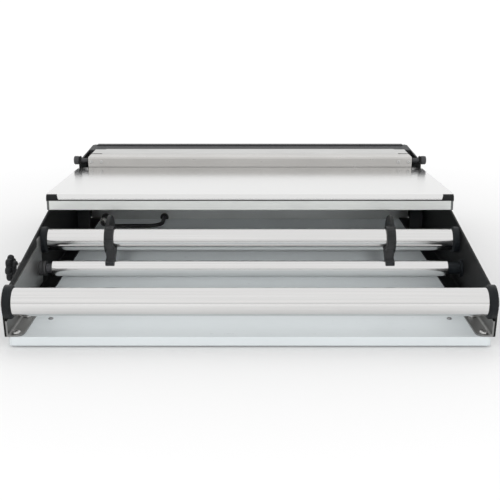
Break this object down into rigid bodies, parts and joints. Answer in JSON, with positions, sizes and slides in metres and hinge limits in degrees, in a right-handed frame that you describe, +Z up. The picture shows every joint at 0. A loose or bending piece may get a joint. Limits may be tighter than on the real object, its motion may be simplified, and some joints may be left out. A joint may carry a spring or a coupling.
{
  "type": "cling film wrapping machine",
  "caption": "Tabletop cling film wrapping machine with a film roll cradle on rollers, a worktable, a hinged flap and a heated cutting edge.",
  "frame": {"origin": "on the ground that the four feet stand on, under the middle of the whole machine, knob and thumb screws included", "axes": "+Z up, +Y from the film roll side towards the cutting side, +X to the right seen from the film roll side"},
  "size_m": [0.5262, 0.568, 0.1151],
  "materials": {
    "base_white": "satin pale bluish white board",
    "rubber_black": "matte",
    "side_black": "black powder coat, fine texture",
    "bracket_steel": "satin stainless sheet",
    "brake_steel": "satin stainless sheet",
    "screw_steel": "bright steel fasteners",
    "dark_screw": "dark screw heads",
    "wall_steel": "satin stainless sheet",
    "cover_black": "black coated sheet",
    "hot_bar_black": "non-stick coated metal",
    "table_steel": "glossy pale sheet",
    "corner_black": "moulded black plastic",
    "rail_aluminium": "satin anodised",
    "strip_black": "black plastic strip",
    "cap_grey": "moulded grey plastic",
    "post_dark": "dark painted sheet",
    "roller_steel": "bright drawn tube",
    "bearing_dark": "plastic bearing bush",
    "axle_steel": "ground steel rod",
    "holder_black": "moulded black plastic",
    "disc_black": "dense friction disc",
    "knob_black": "moulded black plastic",
    "guide_black": "moulded black plastic",
    "flap_steel": "satin stainless sheet",
    "cover_steel": "satin stainless sheet",
    "thumb_dark": "dark grey moulded head",
    "lead_black": "flexible sheath",
    "clip_white": "moulded white plastic"
  },
  "bodies": {
    "frame": {"base_board": "base_white", "rubber_feet": "rubber_black", "side_plate_left": "side_black", "side_plate_right": "side_black", "corner_bracket_left": "bracket_steel", "corner_bracket_right": "bracket_steel", "bracket_bolts": "screw_steel", "base_screws": "dark_screw", "brake_plate": "brake_steel", "far_wall": "wall_steel", "far_cover": "cover_black", "hot_bar": "hot_bar_black", "table_top": "table_steel", "table_corner_left": "corner_black", "table_corner_right": "corner_black", "edge_strip": "strip_black", "table_rail": "rail_aluminium", "rail_caps": "cap_grey", "table_post_left": "post_dark", "table_post_right": "post_dark", "post_screws": "screw_steel", "front_axle": "axle_steel", "front_holder_left": "holder_black", "front_holder_right": "holder_black", "mid_axle": "axle_steel", "mid_holder_left": "holder_black", "mid_holder_right": "holder_black", "brake_axle": "axle_steel", "brake_spacer": "holder_black", "friction_disc": "disc_black", "brake_washer": "screw_steel", "brake_spring": "screw_steel", "axle_screws": "screw_steel", "inner_lead": "lead_black", "lead_grommets": "rubber_black", "lead_clip": "clip_white"},
    "front_roller": {"front_roller": "roller_steel", "front_bearings": "bearing_dark"},
    "mid_roller": {"mid_roller": "roller_steel", "mid_bearings": "bearing_dark"},
    "brake_roller": {"brake_roller": "roller_steel", "brake_bearings": "bearing_dark"},
    "brake_knob": {"brake_knob": "knob_black"},
    "left_guide": {"guide_left": "guide_black"},
    "right_guide": {"guide_right": "guide_black"},
    "flap": {"flap_bar": "flap_steel", "flap_cover": "cover_steel", "hinge_block_left": "corner_black", "hinge_block_right": "corner_black", "flap_screws": "screw_steel"},
    "left_thumb_screw": {"thumb_screw_left": "thumb_dark"},
    "right_thumb_screw": {"thumb_screw_right": "thumb_dark"}
  },
  "joints": [
    {"name": "front_roller_spin", "type": "hinge", "parent": "frame", "child": "front_roller", "pos_m": [0.0127, -0.26705, 0.046], "axis": [1, 0, 0], "continuous": true},
    {"name": "mid_roller_spin", "type": "hinge", "parent": "frame", "child": "mid_roller", "pos_m": [0.0127, -0.09915, 0.0638], "axis": [1, 0, 0], "continuous": true},
    {"name": "brake_roller_spin", "type": "hinge", "parent": "frame", "child": "brake_roller", "pos_m": [0.0127, -0.12625, 0.0374], "axis": [1, 0, 0], "continuous": true},
    {"name": "brake_knob_turn", "type": "hinge", "parent": "frame", "child": "brake_knob", "pos_m": [-0.2573, -0.12625, 0.0374], "axis": [1, 0, 0], "range_deg": [-180, 180]},
    {"name": "left_guide_slide", "type": "slide", "parent": "frame", "child": "left_guide", "axis": [1, 0, 0], "range_m": [-0.055, 0.1]},
    {"name": "right_guide_slide", "type": "slide", "parent": "frame", "child": "right_guide", "axis": [1, 0, 0], "range_m": [-0.1, 0.055]},
    {"name": "flap_lift", "type": "hinge", "parent": "frame", "child": "flap", "pos_m": [0.0127, 0.16405, 0.10913], "axis": [1, 0, 0], "range_deg": [0, 85]},
    {"name": "left_thumb_turn", "type": "hinge", "parent": "frame", "child": "left_thumb_screw", "pos_m": [-0.2298, 0.16405, 0.10913], "axis": [1, 0, 0], "range_deg": [-180, 180]},
    {"name": "right_thumb_turn", "type": "hinge", "parent": "frame", "child": "right_thumb_screw", "pos_m": [0.2552, 0.16405, 0.10913], "axis": [1, 0, 0], "range_deg": [-180, 180]}
  ]
}
